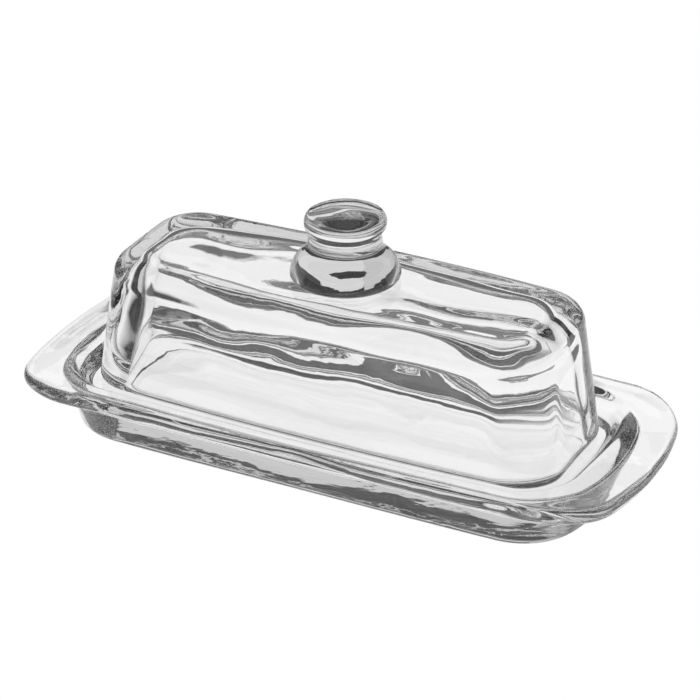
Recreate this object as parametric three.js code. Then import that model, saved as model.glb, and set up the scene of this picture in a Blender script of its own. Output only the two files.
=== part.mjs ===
// A pressed-glass butter dish: a footed tray with a wide flange, a lift-off cover that stands in the
// tray's seat, and the round knob on the cover. Millimetres, +Z up. The origin is the centre of the
// tray's underside, +X runs along the dish and +Y across it.

import * as THREE from 'three';

// ---------------------------------------------------------------- driving dimensions

const GAP = 0.3; // clearance left between two bodies that touch
const FLANGE_THICK = 4.6;

// Plan curves. halfLength and halfWidth are measured on the two centre lines. sideBow and endBow say
// how far the sides and the ends fall back towards the corners. corner is the fillet between them.
const BASE = { halfLength: 85.1, halfWidth: 31.7, sideBow: 1.5, endBow: 12, corner: 18.6 };
const FLANGE = { halfLength: 100, halfWidth: 43.4, sideBow: 2.4, endBow: 9, corner: 22.5 };
const SEAT = { halfLength: 79.5, halfWidth: 31, sideBow: 2.6, endBow: 4, corner: 15 };
const WELL = { halfLength: 73, halfWidth: 23.4, sideBow: 3.2, endBow: 1, corner: 11 };
const COVER_RIM = { halfLength: 76.8, halfWidth: 27.4, sideBow: 3.4, endBow: 0.4, corner: 12 };
const COVER_TOP = { halfLength: 71.6, halfWidth: 27.4, sideBow: 3.4, endBow: 0.4, corner: 15 };

// Tray heights and offsets.
const FOOT_ROUND = 2.5; // rounding under the outside of the foot
const FOOT_FLARE = 3.4; // how far the foot's wall leans out on its way up
const FLANGE_MID = 18; // height of the middle of the flange
const WING_REACH = 85; // past this length the flange droops, as a wing at each end
const WING_DROOP = 2.4; // how far the tip of a wing droops
const SEAT_Z = 14.5; // ledge that the cover's rim stands on
const SEAT_SLOPE = 4.5; // how far the seat's wall leans out on its way up
const WELL_Z = 10.5; // floor that the butter lies on
const WELL_SLOPE = 1; // how far the well's wall leans in on its way down

// Cover heights and walls. The inside is drafted, so the wall is thinnest at the rim.
const COVER_Z = SEAT_Z + GAP;
const COVER_HIGH = 57.3; // top face of the cover
const COVER_ROUND = 6.4; // rounding around the top face
const CEILING = COVER_HIGH - 5; // underside of the top, which is a little thicker than the walls
const INNER_ROUND = 6.4; // rounding around the ceiling
const INNER_CORNER = 15; // fillet between the sides and the ends of the inside
const RIM_WALL = 4; // the rim's underside is a half circle across this wall
const TOP_WALL = 5.8; // wall just under the rounding

// Knob, a turned shape standing on the middle of the cover. Heights are above its foot.
const KNOB_Z = COVER_HIGH + GAP;
const KNOB_NECK_R = 14.8; // where the foot meets the cover, under the lip
const KNOB_LIP_R = 16.6;
const KNOB_LIP_Z = 1.8;
const KNOB_WAIST_R = 10.9;
const KNOB_WAIST_Z = 13.2;
const KNOB_HEAD_R = 12.3;
const KNOB_HEAD_Z = 18;
const KNOB_HIGH = 21.6;

// Fineness of the faceted solids.
const END_STEPS = 4;
const CORNER_STEPS = 6;
const SIDE_STEPS = 6;
const ROUND_STEPS = 4;
const KNOB_SEGMENTS = 40;

// ---------------------------------------------------------------- materials

const CLEAR = { roughness: 0.05, metalness: 0, transparent: true, opacity: 0.35 };
const glass = (name, color) => new THREE.MeshStandardMaterial({ ...CLEAR, name, color });

const trayGlass = glass('tray_glass', 0xe9eef0);
const coverGlass = glass('cover_glass', 0xeef2f3);

// ---------------------------------------------------------------- plan curves

// The same curve moved outwards by a distance, or inwards if it is negative.
function offset(plan, distance) {
  return {
    ...plan,
    halfLength: plan.halfLength + distance,
    halfWidth: plan.halfWidth + distance,
    corner: Math.max(plan.corner + distance, 1),
  };
}

function mix(planA, planB, t) {
  const mixed = {};
  for (const key of Object.keys(planA)) {
    mixed[key] = THREE.MathUtils.lerp(planA[key], planB[key], t);
  }
  return mixed;
}

// One quarter of a plan curve, from the middle of the +X end to the middle of the +Y side. Two shallow
// parabolas stand inside the curve by the corner radius, and every point is pushed out along its normal.
function quarter(plan) {
  const { halfLength, halfWidth, sideBow, endBow, corner } = plan;
  const coreX = halfLength - corner;
  const coreY = halfWidth - corner;
  const endAt = (y) => coreX - endBow * (y / halfWidth) ** 2;
  const sideAt = (x) => coreY - sideBow * (x / halfLength) ** 2;
  let cornerX = coreX;
  let cornerY = coreY;
  for (let turn = 0; turn < 20; turn++) {
    cornerY = sideAt(cornerX);
    cornerX = endAt(cornerY);
  }
  const endAngle = (y) => Math.atan2((2 * endBow * y) / halfWidth ** 2, 1);
  const sideAngle = (x) => Math.atan2(1, (2 * sideBow * x) / halfLength ** 2);
  const pushed = (x, y, angle) =>
    new THREE.Vector2(x + corner * Math.cos(angle), y + corner * Math.sin(angle));
  const points = [];
  for (let i = 0; i < END_STEPS; i++) {
    const y = (cornerY * i) / END_STEPS;
    points.push(pushed(endAt(y), y, endAngle(y)));
  }
  for (let i = 0; i < CORNER_STEPS; i++) {
    const angle = THREE.MathUtils.lerp(endAngle(cornerY), sideAngle(cornerX), i / CORNER_STEPS);
    points.push(pushed(cornerX, cornerY, angle));
  }
  for (let i = 0; i <= SIDE_STEPS; i++) {
    const x = cornerX * (1 - i / SIDE_STEPS);
    points.push(pushed(x, sideAt(x), sideAngle(x)));
  }
  return points;
}

// The whole curve, anticlockwise seen from above, mirrored out of one quarter.
function closedCurve(plan) {
  const first = quarter(plan);
  const second = first.slice(0, -1).reverse().map((p) => new THREE.Vector2(-p.x, p.y));
  const upper = [...first, ...second];
  const lower = upper.slice(1, -1).reverse().map((p) => new THREE.Vector2(p.x, -p.y));
  return [...upper, ...lower];
}

// ---------------------------------------------------------------- lofted bodies

// A ring is a plan curve at a height. Its height may fall away towards the ends, by droop.
const ring = (plan, z, droop = 0) => ({ plan, z, droop });

function ringPoints({ plan, z, droop }) {
  return closedCurve(plan).map(({ x, y }) => {
    const past = THREE.MathUtils.clamp((Math.abs(x) - WING_REACH) / (FLANGE.halfLength - WING_REACH), 0, 1);
    return new THREE.Vector3(x, y, z - droop * past ** 1.5);
  });
}

// A closed body skinned over a stack of rings, capped by a flat fan at each end of the stack. The rings
// run from the middle of the underside, up the outside and down the inside.
function loft(rings) {
  const stack = rings.map(ringPoints);
  const around = stack[0].length;
  const positions = stack.flat().flatMap((p) => [p.x, p.y, p.z]);
  const index = [];
  for (let level = 0; level + 1 < stack.length; level++) {
    for (let i = 0; i < around; i++) {
      const a = level * around + i;
      const b = level * around + ((i + 1) % around);
      index.push(a, b, b + around);
      index.push(a, b + around, a + around);
    }
  }
  for (const level of [0, stack.length - 1]) {
    const centre = positions.length / 3;
    positions.push(0, 0, stack[level][0].z);
    for (let i = 0; i < around; i++) {
      const a = level * around + i;
      const b = level * around + ((i + 1) % around);
      const turned = level === 0 ? [centre, b, a] : [centre, a, b];
      index.push(...turned);
    }
  }
  const geometry = new THREE.BufferGeometry();
  geometry.setAttribute('position', new THREE.Float32BufferAttribute(positions, 3));
  geometry.setIndex(index);
  return geometry;
}

// Rings that turn a corner on a quarter circle or a half circle: from and to are angles in the section,
// 0 pointing outwards and a quarter turn pointing up.
function roundRings(plan, z, radius, from, to, steps, droop = 0) {
  const rings = [];
  for (let i = 0; i <= steps; i++) {
    const angle = THREE.MathUtils.lerp(from, to, i / steps);
    rings.push(ring(offset(plan, radius * (Math.cos(angle) - 1)), z + radius * Math.sin(angle), droop));
  }
  return rings;
}

const IN = -Math.PI;
const DOWN = -Math.PI / 2;
const OUT = 0;
const UP = Math.PI / 2;

// ---------------------------------------------------------------- tray

function trayGeometry() {
  const half = FLANGE_THICK / 2;
  const wallTop = offset(BASE, FOOT_FLARE);
  const seatTop = offset(SEAT, SEAT_SLOPE);
  return loft([
    ...roundRings(BASE, FOOT_ROUND, FOOT_ROUND, DOWN, OUT, ROUND_STEPS),
    ring(wallTop, FLANGE_MID - half),
    ...roundRings(FLANGE, FLANGE_MID, half, DOWN, UP, 2 * ROUND_STEPS, WING_DROOP),
    ring(seatTop, FLANGE_MID + half),
    ring(SEAT, SEAT_Z),
    ring(WELL, SEAT_Z),
    ring(offset(WELL, -WELL_SLOPE), WELL_Z),
  ]);
}

// ---------------------------------------------------------------- cover

// Plan curve of the inside of the cover, behind an outside one.
const inside = (plan, wall) => ({ ...offset(plan, -wall), corner: INNER_CORNER });

// The rim's underside, from the inside of the wall around to the outside.
function rimRings() {
  const radius = RIM_WALL / 2;
  const innerRim = inside(COVER_RIM, RIM_WALL);
  const rings = [];
  for (let i = 0; i <= 2 * ROUND_STEPS; i++) {
    const angle = THREE.MathUtils.lerp(IN, OUT, i / (2 * ROUND_STEPS));
    const outward = (1 + Math.cos(angle)) / 2;
    rings.push(ring(mix(innerRim, COVER_RIM, outward), COVER_Z + radius * (1 + Math.sin(angle))));
  }
  return rings;
}

// The cover opens downwards, so its stack starts in the middle of the ceiling, runs down the inside to
// the rim and comes back up the outside to the middle of the top face.
function coverGeometry() {
  const shoulder = COVER_HIGH - COVER_ROUND;
  const innerShoulder = CEILING - INNER_ROUND;
  const share = (innerShoulder - COVER_Z) / (shoulder - COVER_Z);
  const innerTop = inside(mix(COVER_RIM, COVER_TOP, share), TOP_WALL);
  return loft([
    ...roundRings(innerTop, innerShoulder, INNER_ROUND, UP, OUT, ROUND_STEPS),
    ...rimRings(),
    ...roundRings(COVER_TOP, shoulder, COVER_ROUND, OUT, UP, ROUND_STEPS),
  ]);
}

// ---------------------------------------------------------------- knob

// Half section of the knob: a bell-shaped foot with a lip, a waist and a thick disc with a domed top.
function knobGeometry() {
  const profile = new THREE.Path();
  profile.moveTo(0, 0);
  profile.lineTo(KNOB_NECK_R, 0);
  profile.quadraticCurveTo(KNOB_LIP_R, 0.3, KNOB_LIP_R, KNOB_LIP_Z);
  profile.bezierCurveTo(KNOB_LIP_R - 1.4, 9, KNOB_WAIST_R, 6.5, KNOB_WAIST_R, KNOB_WAIST_Z);
  profile.bezierCurveTo(KNOB_WAIST_R, 15.4, KNOB_HEAD_R, 15.8, KNOB_HEAD_R, KNOB_HEAD_Z);
  profile.bezierCurveTo(KNOB_HEAD_R, 20.4, 9, KNOB_HIGH, 0, KNOB_HIGH);
  return new THREE.LatheGeometry(profile.getPoints(5), KNOB_SEGMENTS);
}

// ---------------------------------------------------------------- assembly

function named(name, geometry, material) {
  const mesh = new THREE.Mesh(geometry, material);
  mesh.name = name;
  return mesh;
}

const knob = named('knob', knobGeometry().rotateX(Math.PI / 2), coverGlass);
knob.position.z = KNOB_Z;

const cover = new THREE.Group();
cover.add(named('cover_shell', coverGeometry(), coverGlass), knob);

const butterDish = new THREE.Group();
butterDish.add(named('tray', trayGeometry(), trayGlass), cover);

export default butterDish;
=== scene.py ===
import math

import bpy
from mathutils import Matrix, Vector, geometry, noise


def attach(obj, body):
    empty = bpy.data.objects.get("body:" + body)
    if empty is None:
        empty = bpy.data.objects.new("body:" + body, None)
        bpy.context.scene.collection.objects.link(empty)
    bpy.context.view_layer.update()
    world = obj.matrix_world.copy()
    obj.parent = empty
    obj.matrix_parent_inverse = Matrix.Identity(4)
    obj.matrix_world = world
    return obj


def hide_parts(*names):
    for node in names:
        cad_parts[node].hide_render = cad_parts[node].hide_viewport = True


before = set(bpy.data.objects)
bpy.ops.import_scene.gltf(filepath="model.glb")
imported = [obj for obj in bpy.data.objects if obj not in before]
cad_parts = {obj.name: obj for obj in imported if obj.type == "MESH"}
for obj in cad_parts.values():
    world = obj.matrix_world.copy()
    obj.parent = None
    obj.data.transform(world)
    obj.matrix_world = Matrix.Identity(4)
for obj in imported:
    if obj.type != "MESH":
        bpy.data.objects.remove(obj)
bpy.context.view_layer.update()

MM = 0.001  # the glass is worked out in mm, as in the CAD; the stage is in metres

# ---------------------------------------------------------------- plan curves, as in the CAD
#
# A plan is an oblong seen from above: half its length and width, how far its sides and ends bow, and
# the radius of its corners.

BASE = dict(length=85.1, width=31.7, side=1.5, end=12.0, corner=18.6)
FLANGE = dict(length=100.0, width=43.4, side=2.4, end=9.0, corner=22.5)
SEAT = dict(length=79.5, width=31.0, side=2.6, end=4.0, corner=15.0)
WELL = dict(length=73.0, width=23.4, side=3.2, end=1.0, corner=11.0)
COVER_RIM = dict(length=76.8, width=27.4, side=3.4, end=0.4, corner=12.0)
COVER_TOP = dict(length=71.6, width=27.4, side=3.4, end=0.4, corner=15.0)

END_STEPS, CORNER_STEPS, SIDE_STEPS = 10, 14, 28  # points on one quarter of a plan curve
CORNER_TURNS = 20  # rounds of the search for the corner's centre
LEAST_CORNER = 1.0


def offset(plan, distance):
    moved = {key: plan[key] + distance for key in ("length", "width", "corner")}
    moved["corner"] = max(moved["corner"], LEAST_CORNER)
    return dict(plan, **moved)


def mix(plan_a, plan_b, t):
    return {key: plan_a[key] + (plan_b[key] - plan_a[key]) * t for key in plan_a}


def quarter(plan):
    """From the middle of the +X end to the middle of the +Y side."""
    length, width, corner = plan["length"], plan["width"], plan["corner"]

    def end_at(y):
        return length - corner - plan["end"] * (y / width) ** 2

    def side_at(x):
        return width - corner - plan["side"] * (x / length) ** 2

    def end_angle(y):
        return math.atan2(2 * plan["end"] * y / width**2, 1)

    def side_angle(x):
        return math.atan2(1, 2 * plan["side"] * x / length**2)

    def pushed(x, y, angle):
        return x + corner * math.cos(angle), y + corner * math.sin(angle)

    cx, cy = length - corner, width - corner
    for _ in range(CORNER_TURNS):
        cy = side_at(cx)
        cx = end_at(cy)
    points = []
    for i in range(END_STEPS):
        y = cy * i / END_STEPS
        points.append(pushed(end_at(y), y, end_angle(y)))
    for i in range(CORNER_STEPS):
        t = i / CORNER_STEPS
        points.append(pushed(cx, cy, end_angle(cy) * (1 - t) + side_angle(cx) * t))
    for i in range(SIDE_STEPS + 1):
        x = cx * (1 - i / SIDE_STEPS)
        points.append(pushed(x, side_at(x), side_angle(x)))
    return points


def closed(plan):
    first = quarter(plan)
    upper = first + [(-x, y) for x, y in first[-2::-1]]
    return upper + [(x, -y) for x, y in upper[-2:0:-1]]


WING_REACH, WING_DROOP, WING_CURVE = 85.0, 2.4, 1.5  # the wings bend down beyond this reach


def clamp(value):
    return min(max(value, 0), 1)


def ring(plan, z, droop=0.0):
    points = []
    for x, y in closed(plan):
        past = clamp((abs(x) - WING_REACH) / (FLANGE["length"] - WING_REACH))
        points.append(Vector((x, y, z - droop * past**WING_CURVE)))
    return points


# ---------------------------------------------------------------- glass bodies
#
# A body is a section carried around a plan curve. Its stations are (points, soft, wave): a ring of
# points, the length of each side that the corner there loses to its rounding, and how much of the
# body's unevenness the glass has there.

ARC_STEPS = 7
LONGEST, SHORTEST = 2.2, 0.02  # steps along the section
SPOT = 0.03  # a flat face closes on a ring this small, and a fan inside it


def spot(points):
    centre = Vector((0, 0, points[0].z))
    return [centre.lerp(p, SPOT) for p in points]


def arc(before, corner, after, soft):
    """Points on the circular arc that rounds a corner."""
    to_before, to_after = before - corner, after - corner
    reach = min(soft, to_before.length / 2, to_after.length / 2)
    start = corner + to_before.normalized() * reach
    stop = corner + to_after.normalized() * reach
    pull = math.sin(to_before.angle(to_after) / 2)
    points = []
    for i in range(ARC_STEPS + 1):
        t = i / ARC_STEPS
        a, c, b = (1 - t) ** 2, 2 * t * (1 - t) * pull, t * t
        points.append((start * a + corner * c + stop * b) / (a + c + b))
    return points


def section(stations):
    """Rings along the section, its corners rounded and its long runs divided."""
    corners = [(stations[0][0], stations[0][2])]
    for before, here, after in zip(stations, stations[1:], stations[2:]):
        points, soft, wave = here
        if soft:
            arcs = [arc(p, q, r, soft) for p, q, r in zip(before[0], points, after[0])]
            corners += [(list(level), wave) for level in zip(*arcs)]
        else:
            corners.append((points, wave))
    corners.append((stations[-1][0], stations[-1][2]))
    rings = [corners[0]]
    for (p0, w0), (p1, w1) in zip(corners, corners[1:]):
        longest = max((b - a).length for a, b in zip(p0, p1))
        if longest < SHORTEST:
            continue
        steps = math.ceil(longest / LONGEST)
        for i in range(1, steps + 1):
            t = i / steps
            rings.append(([a.lerp(b, t) for a, b in zip(p0, p1)], w0 + (w1 - w0) * t))
    return rings


def rounded(plan, z, radius, start, stop, steps, wave):
    """Stations on an arc in the section, from angle start to stop: OUT is outwards, UP is up."""
    stations = []
    for i in range(steps + 1):
        t = start + (stop - start) * i / steps
        points = ring(offset(plan, radius * (math.cos(t) - 1)), z + radius * math.sin(t))
        stations.append((points, 0.0, wave))
    return stations


def skin(name, rings, uneven):
    """A closed mesh over a stack of rings, moved along its normals by wave * uneven(place), in mm."""
    around = len(rings[0][0])
    verts = [p for points, _ in rings for p in points]
    waves = [wave for points, wave in rings for _ in points]
    faces = []
    for level in range(len(rings) - 1):
        low, high = level * around, (level + 1) * around
        for i in range(around):
            j = (i + 1) % around
            faces.append((low + i, low + j, high + j, high + i))
    for level, flip in ((0, True), (len(rings) - 1, False)):
        points, wave = rings[level]
        centre = len(verts)
        verts.append(sum(points, Vector()) / around)
        waves.append(wave)
        for i in range(around):
            a, b = level * around + i, level * around + (i + 1) % around
            faces.append((centre, b, a) if flip else (centre, a, b))
    mesh = bpy.data.meshes.new(name)
    mesh.from_pydata([tuple(v * MM) for v in verts], [], faces)
    mesh.update()
    normals = [vertex.normal.copy() for vertex in mesh.vertices]
    for vertex, normal, place, wave in zip(mesh.vertices, normals, verts, waves):
        if wave:
            vertex.co = (place + normal * wave * uneven(place)) * MM
    mesh.shade_smooth()
    mesh.update()
    piece = bpy.data.objects.new(name, mesh)
    bpy.context.scene.collection.objects.link(piece)
    return piece


SHIFT = Vector((1, 7.3, -3.1))  # the way that a seed moves the noise, off its lattice


def swell(place, along, across, up, seed):
    """Smooth noise with its own length scale along each axis, between about -1 and 1."""
    x, y, z = place
    return noise.noise(Vector((x / along, y / across, z / up)) + SHIFT * seed)


OUT, UP = 0.0, math.pi / 2

# ---------------------------------------------------------------- tray

FLANGE_MID, FLANGE_HALF = 18.0, 2.3  # height of the middle of the flange, and half its thickness
FOOT_FLARE = 3.4
SEAT_Z, SEAT_SLOPE = 14.5, 4.5  # the ledge that the cover stands on, and the slope down to it
WELL_Z, WELL_SLOPE = 10.5, 1.0
TRAY_SWELL = 3.0


def tray_uneven(place):
    broad = swell(place, 34, 20, 16, 0.4)
    small = swell(place, 14, 9, 7, 2.6)
    return TRAY_SWELL * (broad + 0.35 * small)


def tray():
    low, high = FLANGE_MID - FLANGE_HALF, FLANGE_MID + FLANGE_HALF
    stations = [
        (spot(ring(BASE, 0)), 0, 0),
        (ring(BASE, 0), 2.5, 0),
        (ring(offset(BASE, FOOT_FLARE), low), 2.6, 0.15),
        (ring(FLANGE, low, WING_DROOP), FLANGE_HALF, 0.1),
        (ring(FLANGE, high, WING_DROOP), FLANGE_HALF, 0.1),
        (ring(offset(SEAT, SEAT_SLOPE), high), 1.8, 0.1),
        (ring(SEAT, SEAT_Z), 1.2, 0.02),
        (ring(WELL, SEAT_Z), 1.2, 0.02),
        (ring(offset(WELL, -WELL_SLOPE), WELL_Z), 1.5, 0.1),
        (spot(ring(WELL, WELL_Z)), 0, 0.1),
    ]
    return skin("tray_glass_body", section(stations), tray_uneven)


# ---------------------------------------------------------------- cover

COVER_Z, COVER_HIGH = 14.8, 57.3  # its rim, just above the ledge, and its top
CEILING = 52.3
COVER_ROUND, INNER_ROUND = 6.4, 6.4  # of the upper edge, outside and inside
ROUND_STEPS, INNER_STEPS = 12, 14
INNER_CORNER = 15.0
TOP_WALL, RIM_WALL = 5.8, 4.0  # the wall at the top and at the rim
RIM_ROUND = RIM_WALL / 2
COVER_SWELL = 1.6
CROWN_Z, CROWN_RISE = 43.0, 9.0  # more unevenness comes in from this height, over this height


def cover_uneven(place):
    broad = swell(place, 40, 30, 15, 8.3)
    small = swell(place, 18, 14, 9, 4.2)
    crown = swell(place, 26, 12, 9, 4.8) * clamp((place.z - CROWN_Z) / CROWN_RISE)
    return COVER_SWELL * (broad + 0.3 * small + 0.9 * crown)


def cover():
    shoulder = COVER_HIGH - COVER_ROUND
    inner_shoulder = CEILING - INNER_ROUND
    share = (inner_shoulder - COVER_Z) / (shoulder - COVER_Z)
    inner_top = dict(offset(mix(COVER_RIM, COVER_TOP, share), -TOP_WALL), corner=INNER_CORNER)
    inner_rim = dict(offset(COVER_RIM, -RIM_WALL), corner=INNER_CORNER)
    ceiling = rounded(inner_top, inner_shoulder, INNER_ROUND, UP, OUT, INNER_STEPS, 1.0)
    top = rounded(COVER_TOP, shoulder, COVER_ROUND, OUT, UP, ROUND_STEPS, 0.12)
    stations = [
        (spot(ceiling[0][0]), 0, 0.3),
        *ceiling,
        (ring(inner_rim, COVER_Z), RIM_ROUND, 0.05),
        (ring(COVER_RIM, COVER_Z), RIM_ROUND, 0.05),
        *top,
        (spot(top[-1][0]), 0, 0.05),
    ]
    return skin("cover_glass_body", section(stations), cover_uneven)


# ---------------------------------------------------------------- knob

KNOB_Z = 57.6  # just above the cover's top
KNOB_FOOT, KNOB_SPOT = 14.8, 0.4
KNOB_AROUND, KNOB_CURVE_STEPS = 128, 16


def circle(radius, z):
    angles = [2 * math.pi * i / KNOB_AROUND for i in range(KNOB_AROUND)]
    return [Vector((radius * math.cos(t), radius * math.sin(t), z)) for t in angles]


def knob_uneven(place):
    return swell(place, 9, 7, 5, 3.3)


def knob():
    # The half section from the foot up: each curve's two knots with their handles, as (radius, height
    # above the foot), and its wave.
    curves = [
        ((KNOB_FOOT, 0), (16.0, 0.2), (16.6, 0.8), (16.6, 1.8), 0.0),
        ((16.6, 1.8), (15.2, 9), (10.9, 6.5), (10.9, 13.2), 0.1),
        ((10.9, 13.2), (10.9, 15.4), (12.3, 15.8), (12.3, 18), 0.15),
        ((12.3, 18), (12.3, 20.4), (9, 21.6), (KNOB_SPOT, 21.6), 0.2),
    ]
    stations = [(circle(KNOB_SPOT, KNOB_Z), 0, 0), (circle(KNOB_FOOT, KNOB_Z), 0, 0)]
    for *knots, wave in curves:
        knots = [Vector((*p, 0)) for p in knots]
        for p in geometry.interpolate_bezier(*knots, KNOB_CURVE_STEPS)[1:]:
            stations.append((circle(p.x, KNOB_Z + p.y), 0, wave))
    return skin("knob_glass_body", section(stations), knob_uneven)


# ---------------------------------------------------------------- material


def node(tree, kind, **values):
    """A shader node: i3=value sets its input number 3, and other names set its properties."""
    made = tree.nodes.new(kind)
    for key, value in values.items():
        if key[1:].isdigit():
            made.inputs[int(key[1:])].default_value = value
        else:
            setattr(made, key, value)
    return made


INDEX = 1.5
ABSORBED = 5.0  # how fast the glass takes up light, per metre
RIPPLE_SCALE, RIPPLE_DEPTH = 70.0, 0.00012  # ripples of the fire polish, per metre and in metres
GRAIN_SCALE, GRAIN_DEPTH = 420.0, 0.000006  # the mould's finer marks
HAZE_FROM, HAZE_TO, HAZE = 0.45, 0.75, 0.012  # patches of faint roughness on the ripples' crests


def glass(name):
    material = bpy.data.materials.new(name)
    material.use_nodes = True
    tree = material.node_tree
    link = tree.links.new
    shader = tree.nodes["Principled BSDF"]
    shader.inputs["Base Color"].default_value = (1, 1, 1, 1)
    shader.inputs["Transmission Weight"].default_value = 1.0
    shader.inputs["IOR"].default_value = INDEX

    coords = node(tree, "ShaderNodeTexCoord")
    ripple = node(tree, "ShaderNodeTexNoise")
    ripple.inputs["Scale"].default_value = RIPPLE_SCALE
    ripple.inputs["Detail"].default_value = 2.0
    ripple.inputs["Distortion"].default_value = 0.4
    grain = node(tree, "ShaderNodeTexNoise")
    grain.inputs["Scale"].default_value = GRAIN_SCALE
    grain.inputs["Detail"].default_value = 3.0
    relief = None
    for texture, depth in ((ripple, RIPPLE_DEPTH), (grain, GRAIN_DEPTH)):
        link(coords.outputs["Object"], texture.inputs["Vector"])
        bump = node(tree, "ShaderNodeBump")
        bump.inputs["Distance"].default_value = depth
        link(texture.outputs["Fac"], bump.inputs["Height"])
        if relief:
            link(relief.outputs[0], bump.inputs["Normal"])
        relief = bump
    link(relief.outputs[0], shader.inputs["Normal"])

    haze = node(tree, "ShaderNodeMapRange", i1=HAZE_FROM, i2=HAZE_TO, i3=0, i4=HAZE)
    link(ripple.outputs["Fac"], haze.inputs[0])
    link(haze.outputs[0], shader.inputs["Roughness"])

    inside = node(tree, "ShaderNodeVolumeAbsorption", i0=(0, 0, 0, 1), i1=ABSORBED)
    link(inside.outputs[0], tree.nodes["Material Output"].inputs["Volume"])
    return material


# ---------------------------------------------------------------- stage
#
# The camera sees a white floor and a white background. The glass sees a lit sheet under and around
# the dish, two softboxes, and dark elsewhere, which draws its outlines.

CAMERA_AZ, CAMERA_EL = math.radians(26.96), math.radians(27.84)  # right of the -Y axis, and up
# A patch of the floor is two spans of (start, stop, softness), in metres. The lit sheet's spans are
# across and along the line of sight. The shade's are along X and Y: it is a dark strip on the sheet
# behind the dish, about where the flange would throw its shadow.
SHEET = ((-0.14, 0.45, 0.03), (-0.60, 0.27, 0.03))
SHADE = ((-0.115, 0.05, 0.008), (0.044, 0.075, 0.0015))
DARK = 0.05  # of the floor beyond the sheet, and of the background
FLOOR_Z = -0.0003  # a sliver of air stays under the tray's flat underside
FLOOR_R, FLOOR_SIDES = 1.5, 96


def plate(name, corners, faces, fill):
    """A flat or folded sheet of the stage, its material's nodes made by fill(tree)."""
    mesh = bpy.data.meshes.new(name)
    mesh.from_pydata(corners, [], faces)
    made = bpy.data.objects.new(name, mesh)
    bpy.context.scene.collection.objects.link(made)
    material = bpy.data.materials.new(name)
    material.use_nodes = True
    material.node_tree.nodes.clear()
    fill(material.node_tree)
    mesh.materials.append(material)
    return made


def patch(tree, place, spans):
    """1 where every coordinate of place lies in its span, and 0 elsewhere, with soft edges."""
    split = node(tree, "ShaderNodeSeparateXYZ")
    tree.links.new(place, split.inputs[0])
    inside = node(tree, "ShaderNodeValue").outputs[0]
    inside.default_value = 1.0
    for axis, (start, stop, soft) in enumerate(spans):
        for edge, inward in ((start, soft), (stop, -soft)):
            fade = node(tree, "ShaderNodeMapRange", i1=edge - inward, i2=edge + inward)
            product = node(tree, "ShaderNodeMath", operation="MULTIPLY")
            tree.links.new(split.outputs[axis], fade.inputs[0])
            tree.links.new(inside, product.inputs[0])
            tree.links.new(fade.outputs[0], product.inputs[1])
            inside = product.outputs[0]
    return inside


def floor_tree(tree):
    link = tree.links.new
    coords = node(tree, "ShaderNodeTexCoord").outputs["Object"]
    turned = node(tree, "ShaderNodeMapping", i2=(0, 0, -CAMERA_AZ))
    link(coords, turned.inputs[0])
    unshaded = node(tree, "ShaderNodeMath", operation="SUBTRACT", i0=1.0)
    link(patch(tree, coords, SHADE), unshaded.inputs[1])
    sheet = node(tree, "ShaderNodeMath", operation="MULTIPLY")
    link(patch(tree, turned.outputs[0], SHEET), sheet.inputs[0])
    link(unshaded.outputs[0], sheet.inputs[1])
    path = node(tree, "ShaderNodeLightPath")
    lit = node(tree, "ShaderNodeMath", operation="MAXIMUM")
    link(sheet.outputs[0], lit.inputs[0])
    link(path.outputs["Is Camera Ray"], lit.inputs[1])
    level = node(tree, "ShaderNodeMapRange", i3=DARK, i4=1)
    link(lit.outputs[0], level.inputs[0])
    shader = node(tree, "ShaderNodeEmission")
    link(level.outputs[0], shader.inputs[0])
    out = node(tree, "ShaderNodeOutputMaterial")
    link(shader.outputs[0], out.inputs[0])


# Softboxes: name, azimuths right of the line of sight and elevations, in degrees, and brightness.
SOFTBOXES = (
    ("softbox_key", (-15, 60), (20, 34), 0.8),
    ("softbox_fill", (60, 345), (14, 34), 0.65),
)
BOX_DIST, BOX_STEP = 1.6, 15  # in metres, and degrees of the ring to a face


def softbox(name, azimuths, elevations, level):
    """Part of a wide ring around the dish, hidden from the camera."""
    steps = math.ceil((azimuths[1] - azimuths[0]) / BOX_STEP)
    corners = []
    for i in range(steps + 1):
        az = azimuths[0] + (azimuths[1] - azimuths[0]) * i / steps
        turn = math.radians(90 - az) + CAMERA_AZ
        for el in elevations:
            flat = BOX_DIST * math.cos(math.radians(el))
            high = BOX_DIST * math.sin(math.radians(el))
            corners.append((flat * math.cos(turn), flat * math.sin(turn), high))
    faces = [(2 * i, 2 * i + 2, 2 * i + 3, 2 * i + 1) for i in range(steps)]

    def fill(tree):
        shader = node(tree, "ShaderNodeEmission", i0=(1, 1, 1, 1), i1=level)
        out = node(tree, "ShaderNodeOutputMaterial")
        tree.links.new(shader.outputs[0], out.inputs[0])

    plate(name, corners, faces, fill).visible_camera = False


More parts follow.
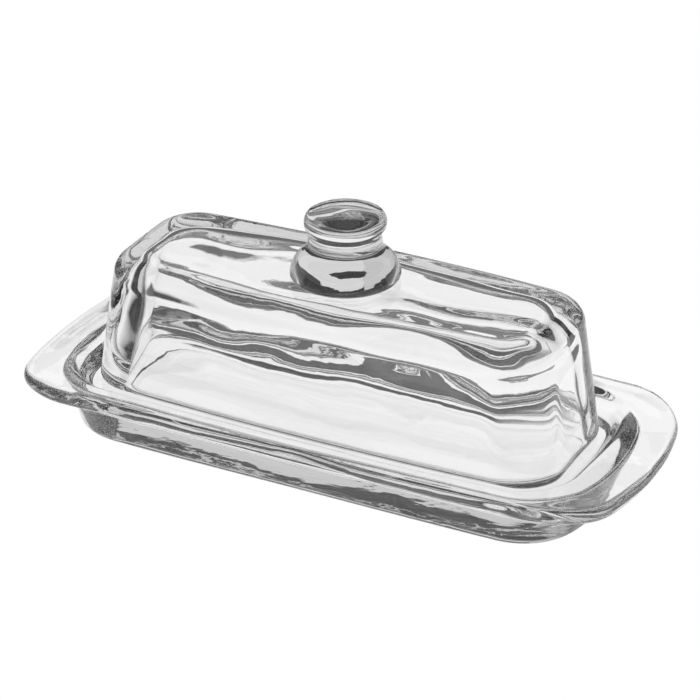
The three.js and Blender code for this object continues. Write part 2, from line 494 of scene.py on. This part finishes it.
def stage():
    angles = [2 * math.pi * i / FLOOR_SIDES for i in range(FLOOR_SIDES)]
    corners = [(FLOOR_R * math.cos(t), FLOOR_R * math.sin(t), FLOOR_Z) for t in angles]
    plate("floor", corners, [list(range(len(corners)))], floor_tree)
    for box in SOFTBOXES:
        softbox(*box)

    world = bpy.data.worlds.new("world")
    bpy.context.scene.world = world
    world.use_nodes = True
    tree = world.node_tree
    path = node(tree, "ShaderNodeLightPath")
    level = node(tree, "ShaderNodeMapRange", i3=DARK, i4=1)
    tree.links.new(path.outputs["Is Camera Ray"], level.inputs[0])
    tree.links.new(level.outputs[0], tree.nodes["Background"].inputs[0])


CAMERA_DIST = 878.35  # in mm, as the two below
CAMERA_SHIFT = (1.33, -6.46)  # right and up
LOOK_AT = Vector((0, 0, 40))
LENS, SENSOR = 151.25, 36


def camera():
    back = Vector((math.sin(CAMERA_AZ), -math.cos(CAMERA_AZ), 0)) * math.cos(CAMERA_EL)
    back.z = math.sin(CAMERA_EL)
    right = Vector((math.cos(CAMERA_AZ), math.sin(CAMERA_AZ), 0))
    up = back.cross(right)
    data = bpy.data.cameras.new("camera")
    data.sensor_width = SENSOR
    data.lens = LENS
    data.clip_start, data.clip_end = 0.05, 20
    cam = bpy.data.objects.new("camera", data)
    bpy.context.scene.collection.objects.link(cam)
    place = LOOK_AT + back * CAMERA_DIST + right * CAMERA_SHIFT[0] + up * CAMERA_SHIFT[1]
    cam.location = place * MM
    cam.rotation_mode = "QUATERNION"
    cam.rotation_quaternion = (-back).to_track_quat("-Z", "Y")
    bpy.context.scene.camera = cam


# ---------------------------------------------------------------- assembly

BOUNCES = 32  # enough for light to find its way out of the glass

stage()
camera()
for piece, body, cad_node, slot in (
    (tray(), "tray", "tray", "tray_glass"),
    (cover(), "cover", "cover_shell", "cover_glass"),
    (knob(), "cover", "knob", "cover_glass"),
):
    piece.data.materials.append(glass(slot))
    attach(piece, body)
    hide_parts(cad_node)
bpy.context.scene.view_settings.view_transform = "Standard"
for limit in ("max_bounces", "transmission_bounces", "glossy_bounces"):
    setattr(bpy.context.scene.cycles, limit, BOUNCES)
